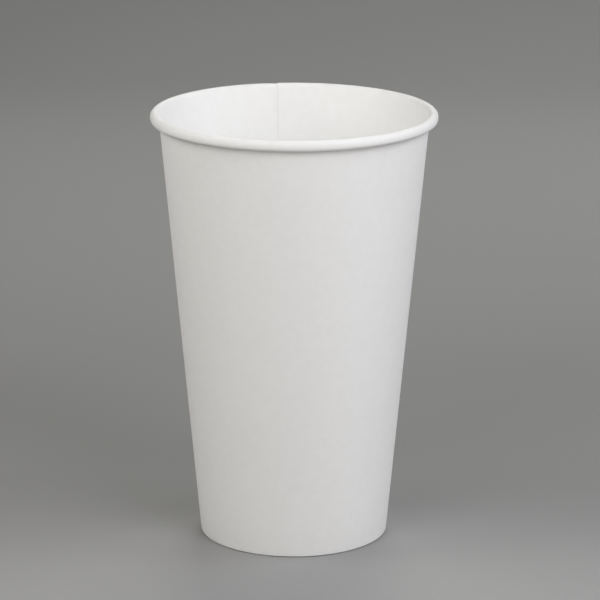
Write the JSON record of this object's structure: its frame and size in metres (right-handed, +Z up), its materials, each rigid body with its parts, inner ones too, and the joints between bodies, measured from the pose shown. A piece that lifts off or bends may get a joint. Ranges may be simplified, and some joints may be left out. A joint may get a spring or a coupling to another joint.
{
  "type": "paper coffee cup",
  "caption": "Tall tapered single-wall paper cup for a hot drink, with a rolled rim, a lapped side seam and a recessed bottom clamped in a folded foot.",
  "frame": {"origin": "centre of the foot's resting plane", "axes": "+Z up along the cup's axis, -Y towards the viewer of the picture, with the side seam near +Y"},
  "size_m": [0.09, 0.09, 0.137],
  "materials": {
    "wall_board": "uncoated outside, thin smooth lining inside",
    "bottom_board": "thin smooth lining on top, uncoated below"
  },
  "bodies": {
    "root": {"sidewall": "wall_board", "bottom_disc": "bottom_board"}
  },
  "joints": []
}
